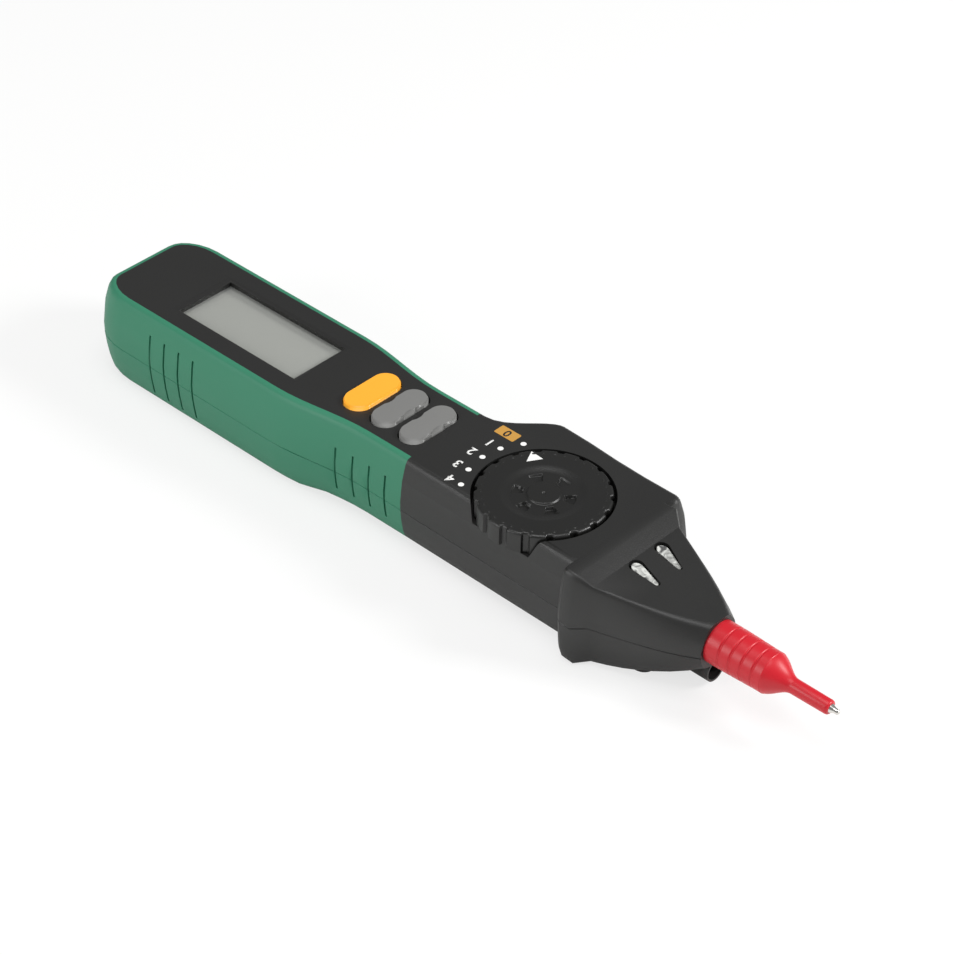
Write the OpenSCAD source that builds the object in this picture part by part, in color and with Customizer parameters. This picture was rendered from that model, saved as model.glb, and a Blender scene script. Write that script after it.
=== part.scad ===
// Pen-shaped digital multimeter, built as its moulded halves, skins, keys, dial, display and probe.
// +X runs to the probe tip, +Z out of the face; the origin is on the flat back, on the centreline
// under the battery bay.

/* [Case] */
// Length of the green grip, from the rear end to the black head
grip_len = 99.5; // [96:0.5:110]
// Length of the black head, from the grip to the collar
head_len = 48.2; // [47:0.1:54]
// Length of the collar round the front of the head
collar_len = 6.6; // [6:0.1:8]
// Length of the tapered nose
nose_len = 22.7; // [20:0.1:27]
// Thickness of the case from back to face
case_h = 23.2; // [22.8:0.1:25]
// Height of the parting line above the back
parting_h = 10.6; // [10.2:0.1:11.2]
// Height of the head's back above the surface that the grip and the collar rest on
back_lift = 1.2; // [0.8:0.1:1.4]
// Width of the grip at its widest level
grip_w = 33; // [32:0.5:37]
// Width of the waist in front of the keys
waist_w = 27.4; // [26:0.2:30]
// Distance from the centreline to the near side of the head
head_near_w = 14.1; // [13.8:0.1:15]
// Distance from the centreline to the far side of the head at its bulge
head_far_w = 22.9; // [22.4:0.1:24]
// Width of the collar
collar_w = 34.6; // [33:0.2:37]
// Width of the nose where it leaves the collar
nose_w = 29.4; // [27:0.2:31]
// Wall thickness of the black mouldings
wall = 1.4; // [1.2:0.1:1.6]
// Thickness of the green skin over the grip
skin = 1.5; // [1.2:0.1:1.7]
// Thickness of the face
face_t = 1.5; // [1.3:0.1:1.7]

/* [Display] */
// Distance from the rear end to the display opening
display_rear = 23.5; // [22.5:0.5:27]
// Distance from the display opening to the middle of the orange key
display_front = 16.5; // [15:0.5:20]
// Width of the face on each side of the display opening
window_side = 8.6; // [8.4:0.1:9.6]

/* [Keys] */
// Length of each key across the meter
key_len = 15; // [13.6:0.1:15.6]
// Width of the orange key
key_w = 6.8; // [6:0.1:7]
// Pitch from key to key
key_pitch = 8.5; // [8.4:0.1:9.2]
// Travel of the orange key
key_travel = 0.8; // [0.5:0.1:0.9]

/* [Dial] */
// Radius of the range dial
dial_r = 14.8; // [14:0.1:15.2]
// Height of the dial's top above the face
dial_rise = 0.5; // [0.3:0.1:1]
// Number of finger notches round the dial
dial_notches = 18; // [12:1:24]
// Radius of the dial's shaft
shaft_r = 4; // [3.5:0.1:4.5]

/* [Probe] */
// Length of the probe that shows in front of the nose
probe_len = 31; // [28:0.5:36]
// Radius of the red sleeve at its base
sleeve_r = 4.9; // [4.6:0.1:5.1]
// Radius of the probe needle
needle_r = 1; // [0.8:0.1:1.1]
// Height of the probe's axis above the back
probe_h = 11.95; // [11.6:0.05:12.2]
// Radius of the rear socket's bore
socket_bore_r = 2.05; // [1.9:0.05:2.1]

/* [Hidden] */

// One overrun for every cut, and the running clearances
over = 1;
fit = 0.05;
seat = 0.02;
slip = 0.2;

// Stations along the meter
overall_len = grip_len + head_len + collar_len + nose_len + probe_len;
origin_set = 38;
rear_x = -origin_set;
grip_x = rear_x + grip_len;
collar_x = grip_x + head_len;
nose_x = collar_x + collar_len;
nose_end_x = nose_x + nose_len;
tip_x = nose_end_x + probe_len;

// Side profile shared by the whole case: [share of the edge round, share of the half's height]
edge_round = 3.2;
base_round = 3.6;
edge_break = 0.18;
upper_profile_shares = [[0, 0.2], [0.09, 0.4], [0.19, 0.6], [0.41, 0.8], [0.53, 0.9],
    [0.66, 0.96], [0.82, 0.99], [1, 1]];
lower_profile_shares = [[1, 0], [0.78, 0.02], [0.55, 0.08], [0.36, 0.19], [0.22, 0.36], [0.08, 0.67]];

// Plan of the case
rear_flat = 8;
rear_round_len = 12;
waist_start = 12.2;
waist_end = 38.5;
grip_half = grip_w / 2;
waist_half = waist_w / 2;
bulge_start = 1;
bulge_end = 16;
bulge_shoulder = 24;
head_taper = 1.2;
head_far_end_w = head_far_w - head_taper;
lobe_corner = 3.8;
lobe_over = 4.3;
slope_step = 0.01;

function ease(t) = t <= 0 ? 0 : t >= 1 ? 1 : (1 - cos(180 * t)) / 2;
function span(x, from, to) = (x - from) / (to - from);
function mix(a, b, t) = a + (b - a) * t;

waist_from_x = grip_x - waist_end;
waist_to_x = grip_x - waist_start;
function waist(x) = mix(grip_half, waist_half, ease(span(x, waist_from_x, waist_to_x)));
function near_w(x) = waist(x) + (head_near_w - waist_half) * ease(span(x, grip_x, collar_x));
function far_w(x) =
    let (bulge = ease(span(x, grip_x + bulge_start, grip_x + bulge_end)),
        taper = ease(span(x, grip_x + bulge_end, grip_x + bulge_end + bulge_shoulder)))
    waist(x) + (head_far_w - waist_half) * bulge + (head_far_end_w - head_far_w) * taper;
function near_slope(x) = (near_w(x + slope_step) - near_w(x - slope_step)) / (2 * slope_step);
function far_slope(x) = (far_w(x + slope_step) - far_w(x - slope_step)) / (2 * slope_step);

// Each point of the plan: [x, y, outward normal x, outward normal y, 1 where the skin covers it]
function unit2(v) = v / norm(v);
function side_point(x, w, slope, side, skinned) =
    let (n = unit2([-slope, 1])) [x, side * w, n[0], side * n[1], skinned];
function rear_point(a, side) =
    let (n = unit2([-cos(a) / rear_round_len, sin(a) / (grip_half - rear_flat)]))
    [rear_x + rear_round_len * (1 - cos(a)), side * (rear_flat + (grip_half - rear_flat) * sin(a)),
        n[0], side * n[1], 1];
function lobe_point(a) =
    [lobe_x - lobe_corner + lobe_corner * cos(a), head_far_end_w - lobe_corner + lobe_corner * sin(a),
        cos(a), sin(a), 0];
rear_step = 15;
waist_steps = 7;
bulge_steps = 9;
lobe_x = collar_x + lobe_over;
grip_stations = [for (i = [0 : waist_steps]) mix(waist_from_x, waist_to_x, i / waist_steps)];
bulge_stations = [for (i = [0 : bulge_steps])
    mix(grip_x + bulge_start, grip_x + bulge_end, i / bulge_steps)];
shoulder_stations = [for (i = [1 : 3]) grip_x + bulge_end + bulge_shoulder * i / 3];
near_rim = concat(
    [for (a = [0 : rear_step : 90]) rear_point(a, -1)],
    [for (x = grip_stations) side_point(x, near_w(x), near_slope(x), -1, 1)],
    [side_point(grip_x, near_w(grip_x), 0, -1, 1), side_point(grip_x, near_w(grip_x), 0, -1, 0)],
    [side_point((grip_x + collar_x) / 2, near_w((grip_x + collar_x) / 2), 0, -1, 0)],
    [side_point(collar_x + wall, head_near_w, 0, -1, 0)]);
far_rim = concat(
    [for (a = [0 : rear_step : 90]) rear_point(a, 1)],
    [for (x = grip_stations) side_point(x, far_w(x), far_slope(x), 1, 1)],
    [side_point(grip_x, far_w(grip_x), 0, 1, 1), side_point(grip_x, far_w(grip_x), 0, 1, 0)],
    [for (x = bulge_stations) side_point(x, far_w(x), far_slope(x), 1, 0)],
    [for (x = shoulder_stations) side_point(x, far_w(x), far_slope(x), 1, 0)],
    [for (a = [90 : -30 : 0]) lobe_point(a)]);
rim = concat(near_rim, [for (i = [len(far_rim) - 1 : -1 : 0]) far_rim[i]]);

// A level is [inset, height, inset under the skin, height under the skin]
face_inset = 3.5;
upper_levels = concat(
    [[edge_break, parting_h, skin, parting_h], [0, parting_h + edge_break, skin, parting_h + edge_break]],
    [for (s = upper_profile_shares)
        let (d = edge_round * s[0], z = mix(parting_h, case_h, s[1])) [d, z, min(d + skin, face_inset), z]]);
lower_levels = concat(
    [for (s = lower_profile_shares)
        let (d = base_round * s[0])
            [d, parting_h * s[1], d + skin, mix(skin, parting_h, s[1])]],
    [[0, parting_h - edge_break, skin, parting_h - edge_break], [edge_break, parting_h, skin, parting_h]]);

// The back steps up from the battery door to the head over this stretch
back_from_x = waist_from_x + 2 * (waist_to_x - waist_from_x) / waist_steps;
back_to_x = waist_from_x + 4 * (waist_to_x - waist_from_x) / waist_steps;

// Plan of the grip alone, of the head alone, and of the grip run on past its front end
grip_rim = [for (p = rim) if (p[4] == 1) p];
head_rim = [for (p = rim) if (p[4] == 0) p];
long_grip_rim = [for (p = grip_rim) p[0] > grip_x - slope_step ? [p[0] + over, p[1], p[2], p[3], 1] : p];
function back_z(x) = back_lift * ease(span(x, back_from_x, back_to_x));
function lifted(x, z) = z + back_z(x) * max(0, 1 - z / parting_h);
function ring(plan, d, z) = [for (p = plan) [p[0] - p[2] * d, p[1] - p[3] * d, lifted(p[0], z)]];

// Solid through a stack of rings with the same number of points, listed from the bottom up. Strips
// close a bottom ring that isn't flat from side to side.
module rings_solid(rings, strips = false) {
    n = len(rings[0]);
    m = len(rings);
    polyhedron(
        points = [for (r = rings) for (p = r) p],
        faces = concat(
            strips ? [for (i = [0 : n / 2 - 2]) [i, i + 1, n - 2 - i, n - 1 - i]] : [[for (i = [0 : n - 1]) i]],
            [for (k = [0 : m - 2]) for (i = [0 : n - 1]) let (j = (i + 1) % n) each [
                [k * n + i, (k + 1) * n + i, (k + 1) * n + j],
                [k * n + i, (k + 1) * n + j, k * n + j]]],
            [[for (i = [n - 1 : -1 : 0]) (m - 1) * n + i]]));
}

// Body of the case without its collar: black core where the skin covers it, full size ahead of it
module core_solid(levels) {
    rings_solid([for (l = levels) ring(long_grip_rim, l[2], l[3])], strips = true);
    rings_solid([for (l = levels) ring(head_rim, l[0], l[1])]);
}
// The grip at the outside of its skin
module grip_solid(levels) {
    rings_solid([for (l = levels) ring(grip_rim, l[0], l[1])], strips = true);
}
// The core under the skin, run past the ends of a half, to hollow the skin with
module skin_cutter(levels, low, high) {
    last = len(levels) - 1;
    rings_solid(concat([ring(long_grip_rim, levels[0][2], low)],
        [for (i = [1 : last - 1]) ring(long_grip_rim, levels[i][2], levels[i][3])],
        [ring(long_grip_rim, levels[last][2], high)]));
}
// Block that keeps what lies between two stations along the meter
module between(x_from, x_to) {
    big = overall_len;
    translate([x_from, -big / 2, -big / 2]) cube([x_to - x_from, big, big]);
}

// Collar and nose, as sections across the meter: [x, half width, top, bottom]
collar_rise = 0.4;
collar_lead = 1;
collar_chamfer_len = 2.7;
nose_drop = 2.1;
nose_lift = 0.6;
collar_edge_round = 2.4;
collar_base_round = 2;
nose_edge_round = 1.4;
nose_lip = 0.7;
nose_end_half = sleeve_r + nose_lip;
nose_end_top = probe_h + nose_end_half;
nose_end_bottom = probe_h - nose_end_half;
nose_round_share = 0.75;
nose_end_round = nose_round_share * nose_end_half;
nose_bend_share = 0.2;
nose_steps = 7;
collar_half = collar_w / 2;
nose_half = nose_w / 2;
function nose_fall(t) = mix(t, pow(t, 4), nose_bend_share);
nose_sections = concat(
    [[collar_x, collar_half - 2 * collar_rise, case_h, collar_rise, collar_edge_round, collar_base_round],
     [collar_x + collar_lead, collar_half - collar_rise / 2, case_h + collar_rise, 0,
         collar_edge_round, collar_base_round],
     [nose_x - collar_chamfer_len, collar_half, case_h + collar_rise, 0,
         collar_edge_round, collar_base_round]],
    [for (i = [0 : nose_steps]) let (t = i / nose_steps)
        [mix(nose_x, nose_end_x, t),
         mix(nose_half, nose_end_half, nose_fall(t)),
         mix(case_h - nose_drop, nose_end_top, t),
         mix(nose_lift, nose_end_bottom, t * t),
         mix(nose_edge_round, nose_end_round, t), mix(collar_base_round, nose_end_round, t)]]);
function upper_section(s, grow = 0) =
    let (side = concat(
        [[s[1] + grow - edge_break, parting_h], [s[1] + grow, parting_h + edge_break]],
        [for (p = upper_profile_shares) [s[1] + grow - s[4] * p[0], mix(parting_h, s[2] + grow, p[1])]]))
    concat([for (p = side) [s[0], -p[0], p[1]]],
        [for (i = [len(side) - 1 : -1 : 0]) [s[0], side[i][0], side[i][1]]]);
function lower_section(s, grow = 0) =
    let (side = concat(
        [for (p = lower_profile_shares) [s[1] + grow - s[5] * p[0], mix(s[3] - grow, parting_h, p[1])]],
        [[s[1] + grow, parting_h - edge_break], [s[1] + grow - edge_break, parting_h]]))
    concat([for (p = side) [s[0], -p[0], p[1]]],
        [for (i = [len(side) - 1 : -1 : 0]) [s[0], side[i][0], side[i][1]]]);

// Solid through sections across the meter, given from the rear forwards
module sections_solid(sections) {
    rings_solid([for (i = [len(sections) - 1 : -1 : 0]) sections[i]]);
}
module upper_nose() { sections_solid([for (s = nose_sections) upper_section(s)]); }
module lower_nose() { sections_solid([for (s = nose_sections) lower_section(s)]); }

// Heights of what lies inside
inner_top = case_h - face_t;
cell_r = 5.25;
cell_gap = 0.4;
cell_z = skin + cell_gap + cell_r;
board_z = cell_z + cell_r + cell_gap;
board_t = 1.2;
board_top = board_z + board_t;
board_gap = 0.6;
pocket_depth = 4.8;
floor_top = case_h - pocket_depth;
floor_t = 1.3;
floor_z = floor_top - floor_t;

// Rear socket
socket_h = case_h / 2;
socket_len = 14;
socket_recess = 2;
socket_wall = 0.55;
socket_r = socket_bore_r + socket_wall;
insulator_r = 4.3;
cavity_x = rear_x + socket_len;

// Hollow of each half: [inset, height, inset under the skin, height under the skin]
upper_shoulder = upper_profile_shares[2];
upper_corner = upper_profile_shares[5];
lower_shoulder = lower_profile_shares[2];
lower_side = lower_profile_shares[4];
cavity_top_share = 0.62;
cavity_corner_share = 0.5;
nose_cavity_share = 0.6;
upper_cavity_levels = [
    [wall, parting_h - over, skin + wall, parting_h - over],
    [wall + edge_round * upper_shoulder[0], mix(parting_h, case_h, upper_shoulder[1]),
        skin + wall + edge_round * upper_shoulder[0], mix(parting_h, case_h, upper_shoulder[1])],
    [wall + edge_round * cavity_corner_share, mix(parting_h, inner_top, upper_corner[1]),
        face_inset + wall, mix(parting_h, inner_top, upper_corner[1])],
    [wall + edge_round * cavity_top_share, inner_top, face_inset + wall, inner_top]];
lower_cavity_levels = [
    [wall + base_round * lower_shoulder[0], wall, skin + wall + base_round * lower_shoulder[0], skin + wall],
    [wall + base_round * lower_side[0], parting_h * lower_side[1],
        skin + wall + base_round * lower_side[0], mix(skin, parting_h, lower_side[1])],
    [wall, parting_h + over, skin + wall, parting_h + over]];
nose_cavity_x = nose_x + nose_cavity_share * nose_len;
nose_cavity_sections = [for (s = nose_sections) if (s[0] < nose_cavity_x)
    [s[0], s[1] - wall, s[2] - wall, s[3] + wall, s[4], s[5]]];
module upper_cavity() {
    intersection() {
        core_solid(upper_cavity_levels);
        between(cavity_x, collar_x + wall / 2);
    }
    sections_solid([for (s = nose_cavity_sections) concat([[s[0], -s[1], parting_h - over]],
        [for (p = upper_section(s)) if (p[2] > parting_h + over / 2) p], [[s[0], s[1], parting_h - over]])]);
}
module lower_cavity() {
    intersection() {
        core_solid(lower_cavity_levels);
        between(cavity_x, collar_x + wall / 2);
    }
    sections_solid([for (s = nose_cavity_sections) let (q = lower_section(s), n = len(q) / 2)
        concat([for (i = [0 : n - 2]) q[i]],
        [[s[0], -s[1], parting_h + over], [s[0], s[1], parting_h + over]],
        [for (i = [n + 1 : 2 * n - 1]) q[i]])]);
}

// Case screws: two behind the dial, two in the nose
screw_r = 1.1;
screw_head_r = 2.1;
screw_head_t = 1.5;
screw_recess = 1.3;
screw_sink = back_lift + screw_recess;
screw_len = 9.6;
post_r = 2.7;
rear_post_set = [6.5, 8.4];
nose_post_set = [8.7, 6.4];
rear_post = [grip_x + rear_post_set[0], rear_post_set[1]];
nose_post = [nose_x + nose_post_set[0], nose_post_set[1]];
post_places = [[rear_post[0], -rear_post[1]], [rear_post[0], rear_post[1]],
    [nose_post[0], -nose_post[1]], [nose_post[0], nose_post[1]]];
module at_posts() { for (p = post_places) translate([p[0], p[1], 0]) children(); }

// Rounds along the meter and upright
module rod_x(x, z, r, length, y = 0) {
    translate([x, y, z]) rotate([0, 90, 0]) cylinder(r = r, h = length, $fn = 48);
}
module disc(z, r, h) { translate([0, 0, z]) cylinder(r = r, h = h, $fn = 72); }
// Oblong with round ends across the meter
module oblong(length, width, z, h) {
    translate([0, 0, z]) linear_extrude(h) {
        square([width, length - width], center = true);
        for (side = [-1, 1]) translate([0, side * (length - width) / 2]) circle(d = width, $fn = 48);
    }
}

// Display opening and what lies under it
key_set = 22;
window_len = grip_len - display_rear - display_front - key_set;
window_w = grip_w - 2 * window_side;
display_x = rear_x + display_rear + window_len / 2;
bevel = [1.4, 0.8, 0.4];
window_t = 0.8;
window_lip = 1.2;
panel_t = 2;
panel_gap = 0.1;
panel_margin = [3, 3.4];
panel_len = window_len + panel_margin[0];
panel_w = window_w + panel_margin[1];
panel_top = inner_top - window_t - panel_gap;
frame_wall = 1.1;
module block(x, y, z, size) { translate([x - size[0] / 2, y - size[1] / 2, z]) cube(size); }
module display_opening() {
    block(display_x, 0, inner_top - over, [window_len, window_w, face_t + 2 * over]);
    translate([display_x, 0, case_h - bevel[2]]) hull() {
        block(0, 0, 0, [window_len, window_w, bevel[2] / 10]);
        block(0, 0, bevel[2], [window_len + 2 * bevel[0], window_w + 2 * bevel[1], bevel[2] / 10]);
    }
}

// Keys: the orange one slides, the two grey ones rock about their middles
function_key_x = grip_x - key_set;
rear_rocker_x = function_key_x + key_pitch;
front_rocker_x = rear_rocker_x + key_pitch;
rocker_trim = 0.4;
rocker_w = key_w - rocker_trim;
rocker_waist = 0.7;
key_rise = 1;
key_gap = 0.3;
rocker_end_gap = 0.5;
key_lip = 0.7;
key_lip_t = 0.6;
key_lip_drop = 0.15;
rocker_lip_drop = 0.7;
key_round = 0.5;
sheet_t = 1;
dome_flat = 1.5;
dome_top = board_top + sheet_t + dome_flat + key_travel;
key_base = dome_top + slip;
dome_r = 2.4;
dome_reach = 4.6;
dome_top_share = 0.6;

// Range dial
dial_set = 28.9;
dial_x = grip_x + dial_set;
dial_gap = 0.3;
dial_z = floor_top + dial_gap;
dial_top = case_h + dial_rise;
pocket_gap = 0.7;
pocket_r = dial_r + pocket_gap;
tub_wall = 1.2;
shaft_hole_r = shaft_r + fit;
carrier_r = 10.5;
wiper_rise = 0.35;
carrier_z = board_top + wiper_rise;
carrier_top = floor_z - slip;
notch_r = 1.3;
notch_sink = 0.55;
dish_r = 9.6;
dish_slope = 1.6;
dish_depth = 0.5;
hub_r = 3.5;
petals = 6;
petal_r = 1.05;
petal_reach = 5.9;
petal_depth = 0.5;
dial_rest = 147.3;
dial_step = 16.4;
dial_marks = 5;
detent_reach = 9.6;
ball_r = 0.9;
detent_bore_r = ball_r + fit;
detent_dimple = 0.2;
dimple_share = 0.6;
detent_depth = 3.2;
washer_w = 0.8;

// Battery bay
cell_len = 44.5;
cell_nub_r = 2.75;
cell_nub = 0.8;
cell_side_gap = 0.1;
cell_y = cell_r + cell_side_gap;
plate_t = 0.4;
plate_share = 1.6;
spring_len = 3.2;
bay_rear_x = cavity_x + plate_t;
bay_front_x = bay_rear_x + spring_len + cell_len;
bay_wall_x = bay_front_x + plate_t;
bay_half = 2 * cell_r + cell_gap;
door_rim = 1.1;
door_half = bay_half + door_rim;
door_rear_x = cavity_x - wall;
door_screw_set = 3.4;
door_screw_margin = 3;
door_screw_x = bay_wall_x + door_screw_set;
door_len = door_screw_x + door_screw_margin - door_rear_x;
door_slip = 0.15;
door_post_r = 2.9;
door_post_drop = 1;
door_post_top = parting_h - door_post_drop;
tab = [2, 3, 0.9];
tab_y = 6;

// Indicator windows in the nose: [big end x, y, small end x, y]
tear_r = 1.75;
tear_tail_r = 0.7;
tear_set = 1.8;
tear_len = 5.9;
tear_x = nose_x + tear_set;
logic_tear = [tear_x, -1.9, tear_x + tear_len, -2.3];
voltage_tear = [tear_x, 6.1, tear_x + tear_len, 4.6];
tear_sink = 0.35;
module tear(places, grow, z, h) {
    translate([0, 0, z]) linear_extrude(h) hull() {
        translate([places[0], places[1]]) circle(r = tear_r + grow, $fn = 32);
        translate([places[2], places[3]]) circle(r = tear_tail_r + grow, $fn = 24);
    }
}

// Torch tube under the nose
torch_r = 2.8;
torch_bore_r = 2.3;
torch_lift = 1.15;
torch_set = 5;
torch_z = torch_r + torch_lift;
torch_root_x = nose_x + torch_set;
torch_end_x = nose_end_x - slip;
torch_depth = 6.5;
torch_lamp_r = 1.5;
torch_lamp_len = 3.2;

// Probe
sleeve_inner = 7;
sleeve_tail_r = 4.2;
sleeve_body_end = 14.2;
sleeve_shoulder_end = 20;
sleeve_neck = 0.7;
sleeve_neck_r = needle_r + sleeve_neck;
sleeve_end_back = 2;
sleeve_tip = 0.15;
sleeve_tip_r = needle_r + sleeve_tip;
sleeve_tail_share = 1 / 3;
sleeve_edge = 0.5;
sleeve_body_shares = [0.96, 0.95, 0.91];
shoulder_shares = [[0.33, 0.72], [0.8, 0.43]];
neck_shares = [0.92, 0.88];
sleeve_groove_start = 3.5;
sleeve_groove_pitch = 2.8;
sleeve_grooves = 4;
sleeve_groove_w = 0.5;
sleeve_groove_depth = 0.2;
needle_inner = 16;
needle_point_share = 0.6;
needle_point_r = needle_point_share * needle_r;

// Grooves moulded in the grip, as [station, pitch, foot, top], and across the back of the head
grip_groove_w = 0.55;
grip_groove_depth = 0.45;
rear_grooves = [22, 4.75, 2.8, 19];
front_grooves = [-19.6, 4.9, 5.7, 17];
groove_count = 4;
back_groove_set = 14.5;
back_groove_x = grip_x + back_groove_set;
back_groove_pitch = 7.7;
back_groove_w = 1.5;
back_groove_depth = 0.5;

module groove_slabs() {
    for (i = [0 : groove_count - 1]) {
        x_rear = rear_x + rear_grooves[0] + i * rear_grooves[1];
        x_front = grip_x + front_grooves[0] + i * front_grooves[1];
        block(x_rear, 0, rear_grooves[2], [grip_groove_w, 2 * grip_w, rear_grooves[3] - rear_grooves[2]]);
        block(x_front, 0, front_grooves[2], [grip_groove_w, 2 * grip_w, front_grooves[3] - front_grooves[2]]);
    }
}
module socket_hole() { rod_x(rear_x - over, socket_h, insulator_r + seat, socket_len + over + seat); }
module needle_hole() { rod_x(nose_end_x - needle_inner, probe_h, needle_r + fit, needle_inner + over); }
module sleeve_hole() {
    rod_x(nose_end_x - sleeve_inner - seat, probe_h, sleeve_r + fit, sleeve_inner + over);
}
case_black = [0.16, 0.16, 0.15];

module upper_case() {
    color(case_black) difference() {
        union() {
            difference() {
                union() {
                    core_solid(upper_levels);
                    upper_nose();
                }
                upper_cavity();
            }
            intersection() {
                core_solid(upper_levels);
                union() {
                    translate([dial_x, 0, 0]) disc(floor_z, pocket_r + tub_wall, case_h);
                    for (side = [-1, 1]) translate([rear_post[0], side * rear_post[1], 0])
                        disc(parting_h, post_r, case_h - parting_h);
                }
            }
            intersection() {
                upper_nose();
                for (side = [-1, 1]) translate([nose_post[0], side * nose_post[1], 0])
                    disc(parting_h, post_r, case_h - parting_h);
            }
        }
        at_posts() disc(parting_h - over, screw_r + fit, screw_len - parting_h / 2);
        translate([dial_x, 0, 0]) {
            disc(floor_top, pocket_r, case_h);
            disc(floor_z - over, shaft_hole_r, case_h);
            for (i = [0 : dial_marks - 1]) for (turn = [0, 180])
                rotate(dial_rest + i * dial_step + turn) translate([detent_reach, 0, 0])
                    disc(floor_top - detent_dimple, dimple_share * ball_r, over);
        }
        display_opening();
        translate([function_key_x, 0, 0])
            oblong(key_len + 2 * key_gap, key_w + 2 * key_gap, inner_top - over, face_t + 2 * over);
        for (x = [rear_rocker_x, front_rocker_x]) translate([x, 0, 0])
            oblong(key_len + 2 * rocker_end_gap, rocker_w + 2 * key_gap, inner_top - over, face_t + 2 * over);
        tear(logic_tear, 0, board_top, case_h);
        tear(voltage_tear, 0, board_top, case_h);
        socket_hole();
        needle_hole();
        sleeve_hole();
    }
}

module lower_case() {
    color(case_black) difference() {
        union() {
            difference() {
                union() {
                    core_solid(lower_levels);
                    lower_nose();
                    rod_x(torch_root_x, torch_z, torch_r, torch_end_x - torch_root_x);
                    for (side = [-1, 1]) translate([nose_post[0], side * nose_post[1], 0])
                        disc(back_lift, post_r, parting_h - back_lift);
                }
                lower_cavity();
            }
            at_posts() disc(back_lift + wall / 2, post_r, parting_h - back_lift - wall / 2);
            intersection() {
                lower_nose();
                rod_x(torch_root_x, torch_z, torch_r, torch_end_x - torch_root_x);
            }
            intersection() {
                block(bay_wall_x + wall / 2, 0, skin, [wall, 2 * bay_half + 2 * wall, board_z - skin]);
                union() {
                    core_solid(lower_levels);
                    block(bay_wall_x + wall / 2, 0, parting_h, [wall, 2 * bay_half, board_z - parting_h]);
                }
            }
            translate([door_screw_x, 0, 0]) disc(skin, door_post_r, door_post_top - skin);
        }
        at_posts() {
            disc(-over, screw_head_r + slip, screw_sink + screw_head_t + over);
            disc(-over, screw_r + fit, parting_h + 2 * over);
        }
        block((cavity_x + bay_wall_x) / 2, 0, -over,
            [bay_wall_x - cavity_x, 2 * bay_half, skin + wall + 2 * over]);
        for (side = [-1, 1])
            block(door_rear_x, side * tab_y, skin - over,
                [2 * tab[0] + slip, tab[1] + slip, tab[2] + slip + over]);
        translate([door_screw_x, 0, 0]) disc(-over, screw_r + fit, door_post_top + over - wall);
        for (i = [0 : groove_count - 1])
            block(back_groove_x + i * back_groove_pitch, 0, -over,
                [back_groove_w, 2 * head_far_w + 2 * over, back_lift + back_groove_depth + over]);
        rod_x(torch_end_x - torch_depth, torch_z, torch_bore_r, torch_depth + over);
        socket_hole();
        needle_hole();
        sleeve_hole();
    }
}

module upper_grip_skin() {
    last = len(upper_levels) - 1;
    color([0.2, 0.5, 0.38]) difference() {
        grip_solid(upper_levels);
        skin_cutter(upper_levels, parting_h - over, case_h + over);
        difference() {
            groove_slabs();
            rings_solid(concat([ring(grip_rim, grip_groove_depth, parting_h - over)],
                [for (i = [1 : last])
                    ring(grip_rim, upper_levels[i][0] + grip_groove_depth, upper_levels[i][1])]));
        }
        socket_hole();
    }
}

module lower_grip_skin() {
    last = len(lower_levels) - 1;
    color([0.2, 0.5, 0.38]) difference() {
        grip_solid(lower_levels);
        rings_solid(concat(
            [for (i = [0 : last - 1]) ring(long_grip_rim, lower_levels[i][2], lower_levels[i][3])],
            [ring(long_grip_rim, lower_levels[last][2], parting_h + over)]), strips = true);
        difference() {
            groove_slabs();
            rings_solid(concat(
                [for (i = [0 : last - 1])
                    ring(grip_rim, lower_levels[i][0] + grip_groove_depth, lower_levels[i][1])],
                [ring(grip_rim, grip_groove_depth, parting_h + over)]), strips = true);
        }
        block(door_rear_x + door_len / 2, 0, -over,
            [door_len + 2 * door_slip, 2 * door_half + 2 * door_slip, skin + 2 * over]);
        socket_hole();
    }
}

module battery_door() {
    color([0.2, 0.5, 0.38]) difference() {
        union() {
            block(door_rear_x + door_len / 2, 0, 0, [door_len, 2 * door_half, skin]);
            for (side = [-1, 1])
                block(door_rear_x, side * tab_y, skin, [2 * tab[0], tab[1], tab[2]]);
        }
        translate([door_screw_x, 0, 0]) {
            disc(-over, screw_r + slip, skin + 2 * over);
            cylinder(r1 = screw_head_r + slip, r2 = screw_r + slip, h = skin, $fn = 48);
        }
    }
}

module battery_door_screw() {
    color("silver") translate([door_screw_x, 0, 0]) {
        translate([0, 0, slip]) cylinder(r1 = screw_head_r, r2 = screw_r, h = skin - slip, $fn = 48);
        disc(skin - slip, screw_r, door_post_top - skin - wall);
    }
}

module case_screws() {
    color("silver") at_posts() {
        disc(screw_sink, screw_head_r, screw_head_t);
        disc(screw_sink, screw_r, screw_len);
    }
}

module display_window() {
    color([0.8, 0.82, 0.8, 0.5])
        block(display_x, 0, inner_top - window_t,
            [window_len + 2 * window_lip, window_w + 2 * window_lip, window_t]);
}

module display_panel() {
    color([0.56, 0.57, 0.53])
        block(display_x, 0, panel_top - panel_t, [panel_len, panel_w, panel_t]);
}

module display_frame() {
    outer = [panel_len + 2 * frame_wall, panel_w + 2 * frame_wall, inner_top - board_top];
    color([0.85, 0.85, 0.82]) difference() {
        block(display_x, 0, board_top, outer);
        block(display_x, 0, panel_top - panel_t,
            [panel_len + 2 * panel_gap, panel_w + 2 * panel_gap, inner_top]);
        block(display_x, 0, board_top - over,
            [panel_len - 2 * frame_wall, panel_w - 2 * frame_wall, inner_top]);
    }
}

connector_w = 1.6;
connector_share = 0.85;
module display_connector() {
    color("hotpink")
        block(display_x, frame_wall + 2 * connector_w - panel_w / 2, board_top,
            [connector_share * window_len, connector_w, panel_top - panel_t - board_top]);
}

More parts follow.
